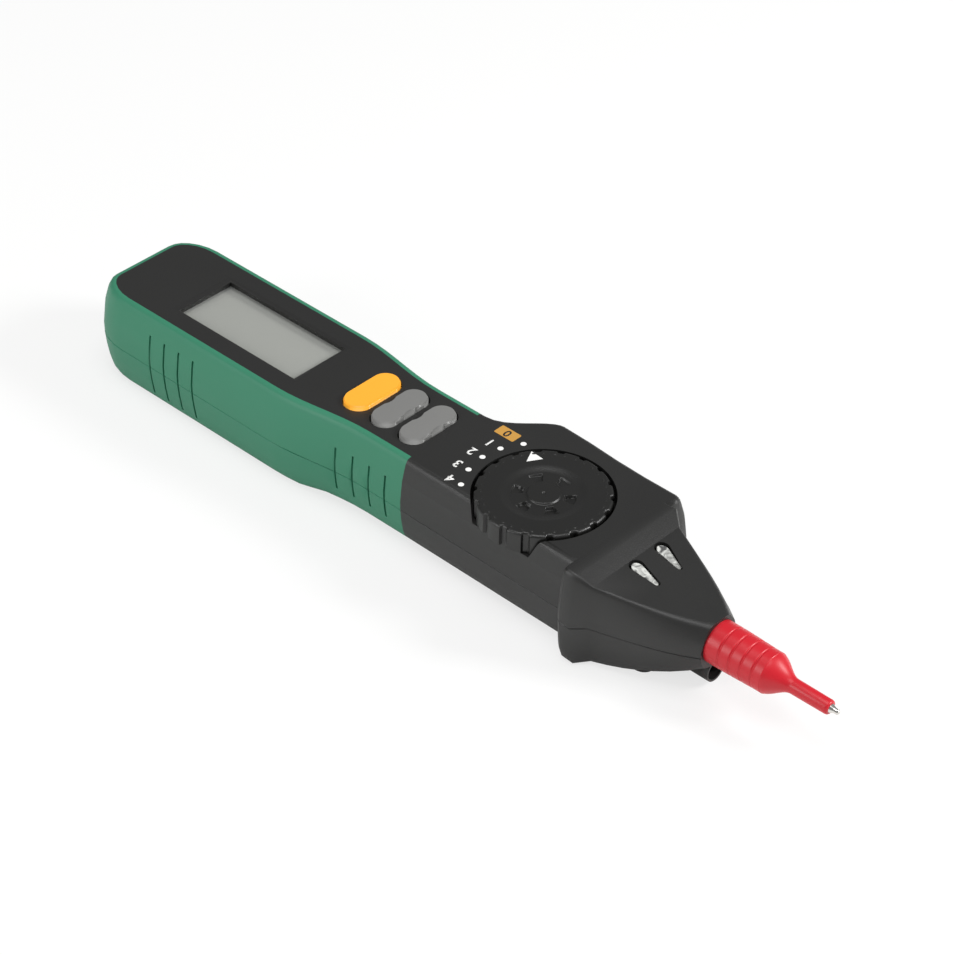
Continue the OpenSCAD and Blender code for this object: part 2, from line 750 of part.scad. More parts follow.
module key_body(length, width, lip_drop) {
    union() {
        oblong(length, width, key_base, case_h + key_rise - key_round - key_base);
        oblong(length - key_round, width - key_round, key_base, case_h + key_rise - key_base);
        oblong(length + 2 * key_lip, width + 2 * key_lip, inner_top - lip_drop - key_lip_t, key_lip_t);
    }
}
module function_key() {
    color("orange") translate([function_key_x, 0, 0]) key_body(key_len, key_w, key_lip_drop);
}
module rocker_key(x) {
    waist_cut_r = key_len / 4;
    color([0.5, 0.5, 0.48]) translate([x, 0, 0]) difference() {
        key_body(key_len, rocker_w, rocker_lip_drop);
        for (side = [-1, 1]) translate([side * (rocker_w / 2 + waist_cut_r - rocker_waist), 0, 0])
            disc(inner_top, waist_cut_r, case_h);
    }
}

module keypad_sheet() {
    sheet_len = 2 * key_pitch + key_w + 2 * key_lip;
    color("dimgray") {
        block(rear_rocker_x, 0, board_top, [sheet_len, key_len + 2 * key_lip, sheet_t]);
        for (x = [rear_rocker_x, front_rocker_x])
            block(x, 0, board_top, [rocker_w, sheet_t, dome_top - board_top]);
    }
}
module key_dome(x, y) {
    translate([x, y, board_top + sheet_t])
        cylinder(r1 = dome_r, r2 = dome_top_share * dome_r, h = dome_top - board_top - sheet_t, $fn = 36);
}
module function_key_dome() { color("gray") key_dome(function_key_x, 0); }
module rear_rocker_domes() { color("gray") for (s = [-1, 1]) key_dome(rear_rocker_x, s * dome_reach); }
module front_rocker_domes() { color("gray") for (s = [-1, 1]) key_dome(front_rocker_x, s * dome_reach); }

module range_dial() {
    color([0.14, 0.14, 0.13]) translate([dial_x, 0, 0]) difference() {
        union() {
            disc(dial_z, dial_r, dial_top - dial_z - notch_sink);
            translate([0, 0, dial_top - notch_sink])
                cylinder(r1 = dial_r, r2 = dial_r - notch_sink, h = notch_sink, $fn = 72);
            disc(carrier_z, shaft_r, dial_z - carrier_z);
        }
        for (i = [0 : dial_notches - 1]) rotate(dial_rest + (i + 0.5) * 360 / dial_notches)
            translate([dial_r + notch_r - notch_sink, 0, dial_z - over])
                cylinder(r = notch_r, h = pocket_depth + 2 * over + dial_rise, $fn = 24);
        difference() {
            translate([0, 0, dial_top - dish_depth])
                cylinder(r1 = dish_r - dish_slope, r2 = dish_r, h = dish_depth + seat, $fn = 72);
            disc(dial_z, hub_r, dial_top - dial_z - dish_depth / 2);
        }
        for (i = [0 : petals - 1]) rotate(dial_rest + i * 360 / petals)
            translate([petal_reach, 0, dial_top - dish_depth - petal_depth])
                cylinder(r = petal_r, h = case_h, $fn = 24);
        for (turn = [0, 180]) rotate(dial_rest + turn) translate([detent_reach, 0, 0])
            disc(dial_z - over, detent_bore_r, detent_depth + over);
        disc(carrier_z - over, screw_r + fit, dial_z - carrier_z + over);
    }
}

module dial_carrier() {
    color("ivory") translate([dial_x, 0, 0]) difference() {
        disc(carrier_z, carrier_r, carrier_top - carrier_z);
        disc(carrier_z - over, shaft_r + seat, case_h);
        for (i = [0 : 2]) rotate(60 + i * 120) translate([carrier_r, 0, 0])
            disc(carrier_z - over, shaft_r - over, case_h);
    }
}
wiper = [4.2, 0.9];
wiper_reach = 7.4;
module dial_wipers() {
    color("gold") translate([dial_x, 0, 0]) for (i = [0 : 2]) rotate(i * 120)
        block(wiper_reach, 0, board_top + seat, [wiper[1], wiper[0], carrier_z - board_top - seat]);
}
module dial_screw() {
    color("silver") translate([dial_x, 0, 0]) {
        disc(carrier_z - screw_head_t, shaft_r + washer_w, screw_head_t);
        disc(carrier_z - screw_head_t, screw_r, dial_z - carrier_z + screw_head_t - over);
    }
}
module at_detents() {
    translate([dial_x, 0, 0]) for (turn = [0, 180]) rotate(dial_rest + turn)
        translate([detent_reach, 0, 0]) children();
}
module detent_balls() {
    color("silver") at_detents() translate([0, 0, floor_top + seat + ball_r]) sphere(r = ball_r, $fn = 24);
}
// Coil spring standing on z = 0, as one tube swept along a helix
wire_sides = 6;
function helix_ring(turn, radius, z, wire) =
    [for (k = [0 : wire_sides - 1]) let (a = 360 * k / wire_sides)
        [(radius + wire * cos(a)) * cos(turn), (radius + wire * cos(a)) * sin(turn), z + wire * sin(a)]];
module coil(radius, wire, height, turns, taper = 0) {
    steps = 12 * turns;
    rings_solid([for (i = [0 : steps]) let (t = i / steps)
        helix_ring(360 * turns * t, radius - taper * t, wire + (height - 2 * wire) * t, wire)]);
}
detent_wire = 0.14;
detent_turns = 4;
module detent_springs() {
    base = floor_top + seat + 2 * ball_r;
    color("silver") at_detents() translate([0, 0, base])
        coil(ball_r - 2 * detent_wire, detent_wire, dial_z + detent_depth - base - seat, detent_turns);
}

tongue_half = 9;
tongue_shoulder = 4.6;
tongue_x = nose_x + tongue_shoulder;
tongue_tip_half = 3.1;
tongue_len = 12.2;
tongue_end_x = nose_x + tongue_len;
contact_w = 2;
contact_x = nose_end_x - needle_inner;
needle_slot_half = needle_r + plate_t + slip;
module circuit_board() {
    inset = wall + board_gap;
    color("darkgreen") translate([0, 0, board_z]) linear_extrude(board_t) difference() {
        union() {
            intersection() {
                union() {
                    polygon([for (p = ring(long_grip_rim, inset + skin, 0)) [p[0], p[1]]]);
                    polygon([for (p = ring(head_rim, inset, 0)) [p[0], p[1]]]);
                }
                translate([cavity_x + inset, -grip_w]) square([collar_x - cavity_x - inset, 2 * grip_w]);
            }
            translate([collar_x - over, -tongue_half]) square([tongue_x - collar_x + over, 2 * tongue_half]);
            translate([tongue_x - over, -tongue_tip_half])
                square([tongue_end_x - tongue_x + over, 2 * tongue_tip_half]);
        }
        translate([dial_x, 0]) circle(r = shaft_r + 2 * washer_w, $fn = 48);
        for (side = [-1, 1]) translate([rear_post[0], side * rear_post[1]])
            circle(r = post_r + slip, $fn = 48);
        translate([contact_x - slip, -needle_slot_half])
            square([tongue_end_x - contact_x + slip + over, 2 * needle_slot_half]);
    }
}
chip = [7, 7, 1.2];
chip_set = [6.5, 5.2];
chip_place = [grip_x - chip_set[0], chip_set[1]];
module measuring_chip() { color("black") block(chip_place[0], chip_place[1], board_z - chip[2], chip); }
buzzer_r = 5.5;
buzzer_t = 3;
module buzzer() {
    color("black") translate([function_key_x, 0, 0]) disc(board_z - buzzer_t, buzzer_r, buzzer_t);
}
fuse_r = 1.8;
fuse_len = 12;
fuse_set = [14, 10.1];
module input_fuse() {
    color("lightgray") rod_x(grip_x - fuse_set[0], board_z - fuse_r, fuse_r, fuse_len,
        fuse_set[1] - grip_half);
}

module tear_window(places) {
    color([0.7, 0.7, 0.7]) intersection() {
        tear(places, -fit, board_top + 2 * sheet_t, case_h);
        translate([0, 0, -tear_sink]) upper_nose();
    }
}
module logic_light_window() { tear_window(logic_tear); }
module voltage_light_window() { tear_window(voltage_tear); }
lamp_r = 1.2;
lamp_places = [[logic_tear[0], logic_tear[1]], [logic_tear[2] - lamp_r, logic_tear[3]],
    [voltage_tear[0], voltage_tear[1]]];
module indicator_lamps() {
    color("white") for (p = lamp_places) translate([p[0], p[1], 0])
        disc(board_top, lamp_r, 2 * sheet_t - seat);
}
module sensing_plate() {
    color("goldenrod")
        block(tongue_end_x - board_t, 0, board_top,
            [plate_t, 2 * tongue_tip_half - 2 * slip, 2 * plate_t + sheet_t]);
}

function along(x, r) = [r, x];
function shoulder(i) = along(
    mix(sleeve_body_end, sleeve_shoulder_end, shoulder_shares[i][0]), shoulder_shares[i][1] * sleeve_r);
module probe_sleeve() {
    end = probe_len - sleeve_end_back;
    color("crimson") translate([nose_end_x, 0, probe_h]) rotate([0, 90, 0]) difference() {
        rotate_extrude($fn = 64) polygon([
            along(-sleeve_inner, needle_r + seat), along(-sleeve_inner, sleeve_tail_r),
            along(-sleeve_inner * sleeve_tail_share, sleeve_r), along(sleeve_groove_start, sleeve_r),
            along(sleeve_body_end - sleeve_groove_pitch, sleeve_body_shares[0] * sleeve_r),
            along(sleeve_body_end, sleeve_body_shares[1] * sleeve_r),
            along(sleeve_body_end + sleeve_edge, sleeve_body_shares[2] * sleeve_r),
            shoulder(0), shoulder(1), along(sleeve_shoulder_end, sleeve_neck_r),
            along(end - sleeve_end_back, neck_shares[0] * sleeve_neck_r),
            along(end - sleeve_edge, neck_shares[1] * sleeve_neck_r),
            along(end, sleeve_tip_r), along(end, needle_r + seat)]);
        for (i = [0 : sleeve_grooves - 1])
            translate([0, 0, sleeve_groove_start + i * sleeve_groove_pitch - sleeve_groove_w / 2])
                groove_ring();
    }
}
module groove_ring() {
    floor_r = sleeve_body_shares[1] * sleeve_r - sleeve_groove_depth;
    difference() {
        cylinder(r = 2 * sleeve_r, h = sleeve_groove_w, $fn = 48);
        translate([0, 0, -over]) cylinder(r = floor_r, h = 3 * over, $fn = 48);
    }
}
module probe_needle() {
    color("silver") {
        rod_x(nose_end_x - needle_inner, probe_h, needle_r, needle_inner + probe_len - sleeve_end_back);
        translate([tip_x - sleeve_end_back, 0, probe_h]) rotate([0, 90, 0])
            cylinder(r1 = needle_r, r2 = needle_point_r, h = sleeve_end_back / 2, $fn = 48);
        rod_x(tip_x - sleeve_end_back / 2, probe_h, needle_point_r, sleeve_end_back / 2 - needle_point_r / 2);
        translate([tip_x - needle_point_r / 2, 0, probe_h]) rotate([0, 90, 0])
            cylinder(r1 = needle_point_r, r2 = needle_point_r / 2, h = needle_point_r / 2, $fn = 48);
    }
}
module probe_contact() {
    color("gold") difference() {
        union() {
            rod_x(contact_x, probe_h, needle_r + plate_t, contact_w);
            block(contact_x + contact_w / 2, 0, board_z - plate_t,
                [contact_w, 2 * needle_slot_half + contact_w, plate_t]);
        }
        rod_x(contact_x - over, probe_h, needle_r + seat, contact_w + 2 * over);
    }
}

module torch_lamp() {
    back = torch_end_x - torch_depth;
    color("white") {
        rod_x(back, torch_z, torch_bore_r - seat, sheet_t);
        rod_x(back, torch_z, torch_lamp_r, torch_lamp_len);
        translate([back + torch_lamp_len, 0, torch_z]) sphere(r = torch_lamp_r, $fn = 24);
    }
}

tag_len = 4;
tag_x = rear_x + socket_len - socket_wall;
module com_socket() {
    color("gold") {
        difference() {
            rod_x(rear_x + socket_recess, socket_h, socket_r, socket_len - socket_recess);
            rod_x(rear_x + socket_recess - over, socket_h, socket_bore_r,
                socket_len - socket_recess - socket_wall + over);
        }
        block(tag_x + tag_len / 2, 0, socket_h, [tag_len, sheet_t, plate_t]);
        block(tag_x + tag_len - plate_t / 2, 0, socket_h, [plate_t, sheet_t, board_z - socket_h]);
    }
}
module socket_insulator() {
    color("black") difference() {
        rod_x(rear_x, socket_h, insulator_r, socket_len);
        rod_x(rear_x - over, socket_h, socket_r + seat, socket_len + 2 * over);
    }
}

module cell(x, y, way) {
    body = cell_len - cell_nub;
    rod_x(way > 0 ? x : x + cell_nub, cell_z, cell_r, body, y);
    rod_x(way > 0 ? x + body : x, cell_z, cell_nub_r, cell_nub, y);
}
module battery_cells() {
    color("slategray") {
        cell(bay_rear_x + spring_len, -cell_y, 1);
        cell(bay_rear_x, cell_y, -1);
    }
}
spring_wire = 0.3;
spring_turns = 3;
module battery_springs() {
    color("silver") {
        translate([bay_rear_x + spring_len, -cell_y, cell_z]) rotate([0, -90, 0])
            coil(cell_nub_r, spring_wire, spring_len, spring_turns);
        translate([bay_rear_x + cell_len, cell_y, cell_z]) rotate([0, 90, 0])
            coil(cell_nub_r, spring_wire, spring_len, spring_turns);
    }
}
module battery_end_plates() {
    side_len = plate_share * cell_r;
    size = [plate_t, side_len, side_len];
    color("silver") {
        for (side = [-1, 1]) block(cavity_x + plate_t / 2, side * cell_y, cell_z - size[2] / 2, size);
        block(bay_front_x + plate_t / 2, 0, cell_z - size[2] / 2, [plate_t, 2 * cell_y + size[1], size[2]]);
    }
}

upper_case();
lower_case();
upper_grip_skin();
lower_grip_skin();
battery_door();
battery_door_screw();
case_screws();
display_window();
display_panel();
display_frame();
display_connector();
function_key();
rocker_key(rear_rocker_x);  // rear_rocker_key
rocker_key(front_rocker_x);  // front_rocker_key
keypad_sheet();
function_key_dome();
rear_rocker_domes();
front_rocker_domes();
range_dial();
dial_carrier();
dial_wipers();
dial_screw();
detent_balls();
detent_springs();
circuit_board();
measuring_chip();
buzzer();
input_fuse();
logic_light_window();
voltage_light_window();
indicator_lamps();
sensing_plate();
probe_sleeve();
probe_needle();
probe_contact();
torch_lamp();
com_socket();
socket_insulator();
battery_cells();
battery_springs();
battery_end_plates();
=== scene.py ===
import math
import bmesh
import bpy
from mathutils import Matrix, Vector


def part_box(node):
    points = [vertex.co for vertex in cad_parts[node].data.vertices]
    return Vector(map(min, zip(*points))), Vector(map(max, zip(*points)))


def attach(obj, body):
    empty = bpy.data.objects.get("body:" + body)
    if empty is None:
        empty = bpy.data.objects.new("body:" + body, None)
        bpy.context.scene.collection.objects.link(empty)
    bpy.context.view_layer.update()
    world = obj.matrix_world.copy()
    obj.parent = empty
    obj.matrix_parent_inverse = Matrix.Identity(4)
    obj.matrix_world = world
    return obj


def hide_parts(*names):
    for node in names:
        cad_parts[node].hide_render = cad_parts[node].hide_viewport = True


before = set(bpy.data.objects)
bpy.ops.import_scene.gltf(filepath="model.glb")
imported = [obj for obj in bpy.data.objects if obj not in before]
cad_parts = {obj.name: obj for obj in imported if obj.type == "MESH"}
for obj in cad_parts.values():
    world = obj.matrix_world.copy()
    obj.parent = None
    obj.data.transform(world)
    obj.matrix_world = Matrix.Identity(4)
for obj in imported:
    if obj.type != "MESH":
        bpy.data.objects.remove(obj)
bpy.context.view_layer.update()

# The camera stands on the near side in front of the probe, looking back along the meter from
# above, where the photographer stood. Its long lens keeps the grip and the probe nearly parallel.
azimuth, elevation, roll = math.radians(43.02), math.radians(38.21), math.radians(0.71)
camera_place = (0.41619, -0.36958, 0.41508)
picture_px, focal_px, sensor = 955, 3000, 36
nearest, farthest = 0.01, 10
back = Vector((math.sin(azimuth) * math.cos(elevation), -math.cos(azimuth) * math.cos(elevation),
               math.sin(elevation)))
level = Vector((math.cos(azimuth), math.sin(azimuth), 0))
right = math.cos(roll) * level + math.sin(roll) * back.cross(level)
up = back.cross(right)
camera = bpy.data.objects.new("camera", bpy.data.cameras.new("camera"))
camera.data.sensor_width, camera.data.lens = sensor, sensor * focal_px / picture_px
camera.data.clip_start, camera.data.clip_end = nearest, farthest
camera.matrix_world = Matrix.Translation(camera_place) @ Matrix((right, up, back)).transposed().to_4x4()
bpy.context.scene.collection.objects.link(camera)
bpy.context.scene.camera = camera
bpy.context.scene.view_settings.view_transform = "Standard"


# The floor is a pale sheet that shades softly under the meter and shows as white to the camera,
# so it is part paper and part glow.
class Wire:
    """A socket of a material, so that sums on it read as plain sums."""

    def __init__(self, tree, socket=None):
        self.tree, self.socket = tree, socket

    def node(self, kind, settings=(), sockets=(), out=0):
        """Any node but a sum, from its settings and then the values or links of its sockets."""
        made = self.tree.nodes.new("ShaderNode" + kind)
        for name, value in dict(settings).items():
            if name == "stops":
                ramp = made.color_ramp
                while len(ramp.elements) < len(value):
                    ramp.elements.new(0.5)
                for stop, (place, shade) in zip(ramp.elements, value):
                    stop.position, stop.color = place, (shade, shade, shade, 1)
            else:
                setattr(made, name, value)
        for name, value in dict(sockets).items():
            if isinstance(value, Wire):
                self.tree.links.new(value.socket, made.inputs[name])
            else:
                made.inputs[name].default_value = value
        return Wire(self.tree, made.outputs[out])

    def sum(self, operation, first, second=0.0):
        return self.node("Math", {"operation": operation}, {0: first, 1: second})

    def __add__(self, other):
        return self.sum("ADD", self, other)

    def __mul__(self, other):
        return self.sum("MULTIPLY", self, other)

    __radd__, __rmul__ = __add__, __mul__

    def tint(self, first, second):
        """Colour that goes from the first to the second as this value goes from 0 to 1."""
        return self.node("Mix", {"data_type": "RGBA"}, {0: self, 6: first, 7: second}, out=2)


def shader(name):
    """A new material, the wire that its nodes grow from, and its output."""
    made = bpy.data.materials.new(name)
    made.use_nodes = True
    made.node_tree.nodes.clear()
    wire = Wire(made.node_tree)
    return made, wire, made.node_tree.nodes.new("ShaderNodeOutputMaterial")


def piece(name, body, shape, material):
    """One finished piece made from a bmesh, riding on a CAD body, or on none as part of the stage."""
    mesh = bpy.data.meshes.new(name)
    shape.to_mesh(mesh)
    shape.free()
    made = bpy.data.objects.new(name, mesh)
    bpy.context.scene.collection.objects.link(made)
    mesh.materials.append(material)
    if body is None:
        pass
    else:
        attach(made, body)
    return made


floor_half, glow_share = 3, 0.72
paper, wire, output = shader("floor_paper")
seen = wire.node("LightPath")
matt = wire.node("BsdfDiffuse", sockets={"Color": (0.86, 0.86, 0.85, 1)})
glow = wire.node("Emission", sockets={"Color": (1, 1, 1, 1), "Strength": 1.0})
mixed = wire.node("MixShader", sockets={0: seen * glow_share, 1: matt, 2: glow})
paper.node_tree.links.new(mixed.socket, output.inputs["Surface"])
shape = bmesh.new()
bmesh.ops.create_grid(shape, x_segments=1, y_segments=1, size=floor_half)
piece("floor", None, shape, paper)

# The room is white to the camera and dimmer for everything else, and three square softboxes light
# the meter: from above, from in front of the near wall, and from beyond the probe for the collar.
room_light = 0.28
world = bpy.data.worlds.new("room")
bpy.context.scene.world = world
world.use_nodes = True
world.node_tree.nodes.clear()
wire = Wire(world.node_tree)
strength = wire.node("LightPath") * (1 - room_light) + room_light
room = wire.node("Background", sockets={"Color": (1, 1, 1, 1), "Strength": strength})
world_output = world.node_tree.nodes.new("ShaderNodeOutputWorld")
world.node_tree.links.new(room.socket, world_output.inputs["Surface"])


def lamp(name, place, aim, size, power):
    """A square studio softbox at a place, turned to a point on the meter."""
    light = bpy.data.lights.new(name, "AREA")
    light.shape, light.size, light.energy = "SQUARE", size, power
    made = bpy.data.objects.new(name, light)
    made.location = place
    made.rotation_euler = (Vector(aim) - Vector(place)).to_track_quat("-Z", "Y").to_euler()
    bpy.context.scene.collection.objects.link(made)


lamp("top_softbox", (0.12, -0.1, 0.85), (0.066, 0, 0.01), 0.5, 3.5)
lamp("front_softbox", (-0.24, -0.75, 0.4), (0.05, 0, 0.01), 0.4, 3.0)
lamp("tip_softbox", (0.69, 0.45, 0.5), (0.12, 0, 0.01), 0.25, 7)

# The two black halves are moulded in one glass-filled plastic with a fine spark-eroded texture, and
# four screws draw them together from below. Three of their flat faces fold over in the hollow of
# the far shoulder in the solids, so they are filled again from their outlines here.
weld, flat_angle, flat_weight, height_slack = 2e-6, 0.4, 75, 6e-6


def lies_at(part, height):
    """Whether a face or an edge lies flat at a height."""
    return all(abs(corner.co.z - height) < height_slack for corner in part.verts)


def solid_of(node, refilled=()):
    """A welded copy of a CAD node with its flat faces joined up, some of them filled again."""
    shape = bmesh.new()
    shape.from_mesh(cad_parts[node].data)
    bmesh.ops.remove_doubles(shape, verts=shape.verts, dist=weld)
    for height in refilled:
        flat = [face for face in shape.faces if lies_at(face, height)]
        bmesh.ops.delete(shape, geom=flat, context="FACES")
        rim = [edge for edge in shape.edges if len(edge.link_faces) == 1 and lies_at(edge, height)]
        bmesh.ops.triangle_fill(shape, edges=rim, use_beauty=True, normal=(0, 0, 1))
    if refilled:
        bmesh.ops.recalc_face_normals(shape, faces=shape.faces)
    bmesh.ops.dissolve_limit(shape, angle_limit=math.radians(flat_angle), verts=shape.verts,
                             edges=shape.edges)
    return shape


def smooth(made, angle):
    """Shade a piece smooth wherever its faces meet at less than an angle in degrees."""
    made.data.shade_smooth()
    made.data.set_sharp_from_angle(angle=math.radians(angle))


def skin_of(node, body, material, angle=28, refilled=()):
    """The visible form of a CAD node, flat on its flats and smooth over its rounds, in its place."""
    made = piece(node + "_finish", body, solid_of(node, refilled), material)
    smooth(made, angle)
    weighted = made.modifiers.new("flat faces stay flat", "WEIGHTED_NORMAL")
    weighted.keep_sharp, weighted.weight = True, flat_weight
    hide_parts(node)


def plastic(name, colour, rough, grain=0.1, grain_scale=5200, tone=0.06, specular=0.4):
    """Moulded plastic: a fine texture in its relief, faint clouds in its colour and its gloss."""
    made, wire, output = shader(name)
    place = wire.node("TexCoord", out=3)
    fine = wire.node("TexNoise", sockets={"Vector": place, "Scale": grain_scale, "Detail": 3.0})
    cloud = wire.node("TexNoise", sockets={"Vector": place, "Scale": 55.0, "Detail": 4.0})
    relief = wire.node("Bump", sockets={"Strength": grain, "Distance": 0.0002, "Height": fine})
    darker = tuple(c * (1 - tone) for c in colour) + (1,)
    lighter = tuple(min(1, c * (1 + tone)) for c in colour) + (1,)
    tinted = cloud.tint(darker, lighter)
    surface = wire.node("BsdfPrincipled", sockets={
        "Base Color": tinted, "Roughness": cloud * 0.12 + (rough - 0.06), "Normal": relief,
        "Specular IOR Level": specular})
    made.node_tree.links.new(surface.socket, output.inputs["Surface"])
    return made


round_angle = 24.4
face_height, ceiling_height, parting_height = 0.0232, 0.0217, 0.0106
black_plastic = plastic("black_plastic", (0.013, 0.013, 0.0125), 0.42, grain=0.2, specular=0.5)
skin_of("upper_case", "case", black_plastic, round_angle, (ceiling_height, face_height))
skin_of("lower_case", "case", black_plastic, refilled=(parting_height,))

# The green grip is a soft rubber moulded over the black core in two halves, with short grooves
# across it for the fingers. The battery door below is the same green in hard plastic.
green_rubber = plastic("green_rubber", (0.032, 0.2, 0.115), 0.48, grain=0.1, tone=0.04)
skin_of("upper_grip_skin", "case", green_rubber)
skin_of("lower_grip_skin", "case", green_rubber)
green_plastic = plastic("green_plastic", (0.03, 0.19, 0.11), 0.42, grain=0.08, tone=0.04)
skin_of("battery_door", "case", green_plastic)

# The keys are moulded in hard satin plastic, orange for the one that slides and grey for the two
# that rock, and stand in slots in the face with their rims rounded over.
rim_angle = 50
orange_plastic = plastic("orange_plastic", (0.9, 0.4, 0.03), 0.34, grain=0.03, tone=0.03)
grey_plastic = plastic("grey_plastic", (0.18, 0.18, 0.175), 0.34, grain=0.05, tone=0.05)
skin_of("function_key", "function_button", orange_plastic, rim_angle)
skin_of("rear_rocker_key", "rear_rocker", grey_plastic, rim_angle)
skin_of("front_rocker_key", "front_rocker", grey_plastic, rim_angle)

# The range dial is one moulding in the same black plastic: a shallow dish with a raised hub, six
# small pockets round the hub, and a rim bitten by finger notches. It turns on a shaft that goes
# down through the tub, where the carrier is screwed to it.
MM = 0.001
dial_low, dial_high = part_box("range_dial")
dial_x, dial_top = (dial_low[0] + dial_high[0]) / 2 / MM, dial_high[2] / MM
dial_r, dial_h, dial_rest, dial_steps = 14.8, 5, 147.3, 288
edge_soft, edge_turns, side_drops = 0.75, range(0, 91, 15), (1.4, 3)
top_rings, ring_step, slack = 116, 0.12, 0.01
dish_r, dish_slope, dish_depth = 9.7, 2.6, 0.55
hub_r, hub_slope, hub_rise = 3.4, 0.4, 0.4
centre_r, centre_edge_r, centre_depth = 0.2, 0.5, 0.3
pockets, pocket_from, pocket_to, pocket_half, pocket_flare = 6, 4.5, 6.9, 0.8, 0.3
pocket_depth, pocket_slope, pocket_wall = 0.8, 0.16, 0.12
notches, notch_half, notch_slope, notch_bite, notch_reach = 18, 3.6, 1.2, 0.6, 2.2
nib_turn, nib_from, nib_rise, nib_size, nib_round = 4.6, 13.3, 0.16, 0.35, 0.6
shaft_r, shaft_overlap = 4, 0.3


def soft(value, low, high):
    """Eased step from 0 at low to 1 at high."""
    share = max(0, min(1, (value - low) / (high - low)))
    return share * share * (3 - 2 * share)


def off_nearest(turn, count):
    """Degrees from a turn to the nearest of the places that divide the circle into count."""
    step = 360 / count
    return (turn + step / 2) % step - step / 2


def rim_height(reach):
    """Height of the dial's top at a distance from its middle, with its edge rounded over."""
    into = max(0, reach - dial_r + edge_soft) / edge_soft
    return dial_top - edge_soft * (1 - math.sqrt(max(0, 1 - into ** 2)))


def notch_gap(turn):
    """Degrees from a turn to the middle of the nearest finger notch."""
    return abs(off_nearest(turn - dial_rest - 180 / notches, notches))


def dial_drop(reach, turn):
    """How far the dial's top sinks at a place: dish, hub, pockets, centre mark and rim nibs."""
    across = reach * math.radians(abs(off_nearest(turn - dial_rest, pockets)))
    half = pocket_half + pocket_flare * (reach - pocket_from)
    in_pocket = soft(reach, pocket_from - pocket_wall, pocket_from + pocket_wall)
    in_pocket *= 1 - soft(reach, pocket_to - pocket_wall, pocket_to + pocket_wall)
    in_pocket *= 1 - soft(across, half - pocket_wall, half + pocket_wall)
    along = (reach - nib_from) / nib_size
    aside = reach * math.radians(notch_gap(turn) - nib_turn) / nib_size
    drop = dish_depth * (1 - soft(reach, dish_r - dish_slope, dish_r))
    drop -= hub_rise * (1 - soft(reach, hub_r, hub_r + hub_slope))
    drop += pocket_depth * (1 - pocket_slope * (reach - pocket_from)) * in_pocket
    drop += centre_depth * (1 - soft(reach, centre_r, centre_edge_r))
    return drop - nib_rise * soft(max(0, 1 - math.hypot(along, aside)), 0, nib_round)


def turned(points, axis, steps, closed=False):
    """A form in millimetres that an outline sweeps as it goes once round an axis."""
    shape = bmesh.new()
    corners = [shape.verts.new(point) for point in points]
    ends = corners + corners[:1] if closed else corners
    chain = [shape.edges.new(pair) for pair in zip(ends, ends[1:])]
    bmesh.ops.spin(shape, geom=corners + chain, axis=axis, cent=(0, 0, 0), angle=math.tau, steps=steps,
                   use_merge=True)
    bmesh.ops.remove_doubles(shape, verts=shape.verts, dist=1e-5)
    bmesh.ops.recalc_face_normals(shape, faces=shape.faces)
    return shape


dial_foot = dial_top - dial_h
radii = [ring_step * (i + 1) for i in range(top_rings)]
radii += [dial_r - edge_soft * (1 - math.sin(math.radians(turn))) for turn in edge_turns]
outline = [(0, 0, dial_top)] + [(r, 0, rim_height(r)) for r in radii]
outline += [(dial_r, 0, dial_top - drop) for drop in side_drops] + [(dial_r, 0, dial_foot), (0, 0, dial_foot)]
shape = turned(outline, (0, 0, 1), dial_steps)
for corner in shape.verts:
    reach, turn = math.hypot(corner.co.x, corner.co.y), math.degrees(math.atan2(corner.co.y, corner.co.x))
    if corner.co.z > dial_top - edge_soft - slack and reach < dial_r - slack:
        corner.co.z -= dial_drop(reach, turn)
    if reach > dial_r - notch_reach:
        bite = notch_bite * (1 - soft(notch_gap(turn), notch_half - notch_slope, notch_half))
        share = 1 - bite * (reach - dial_r + notch_reach) / notch_reach / reach
        corner.co.x, corner.co.y = corner.co.x * share, corner.co.y * share
shaft_top, shaft_end = dial_foot + shaft_overlap, dial_low[2] / MM
shaft = bmesh.ops.create_cone(shape, cap_ends=True, segments=48, radius1=shaft_r, radius2=shaft_r,
                              depth=shaft_top - shaft_end)["verts"]
bmesh.ops.translate(shape, verts=shaft, vec=(0, 0, (shaft_top + shaft_end) / 2))
bmesh.ops.translate(shape, verts=shape.verts, vec=(dial_x, 0, 0))
bmesh.ops.transform(shape, verts=shape.verts, matrix=Matrix.Scale(MM, 4))
dial_plastic = plastic("dial_plastic", (0.008, 0.008, 0.0075), 0.38, grain=0.14, specular=0.5)
dial = piece("range_dial_finish", "dial", shape, dial_plastic)
smooth(dial, rim_angle)
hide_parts("range_dial")

# The marks are pad-printed in white on the face: a dot for each place of the dial and a plain
# number beside it, the first on an amber patch, and a pointer on the dial that turns with it.
white_ink = plastic("white_ink", (0.8, 0.8, 0.78), 0.5, grain=0.02, tone=0.03)
amber_ink = plastic("amber_ink", (0.5, 0.26, 0.05), 0.5, grain=0.02, tone=0.05)
face_z, print_t, dot_r = face_height / MM, 0.03, 0.66
dot_places = ((-14.75, 9.67), (-17.21, 5.08), (-17.94, 0.24), (-17.1, -4.96), (-14.7, -9.77))
dots = [(dial_x + x, y) for x, y in dot_places]
patch, patch_size, patch_corner = (dial_x - 19.68, 10.0), (5.5, 3.0), 0.3
number_h, number_gap, first_number_h = 2.5, 3.1, 2.2
digit_share, stroke_extra = 0.73, 0.06
pointer = ((-9.72, 5.15), (-7.79, 8.23), (-11.31, 8.45))


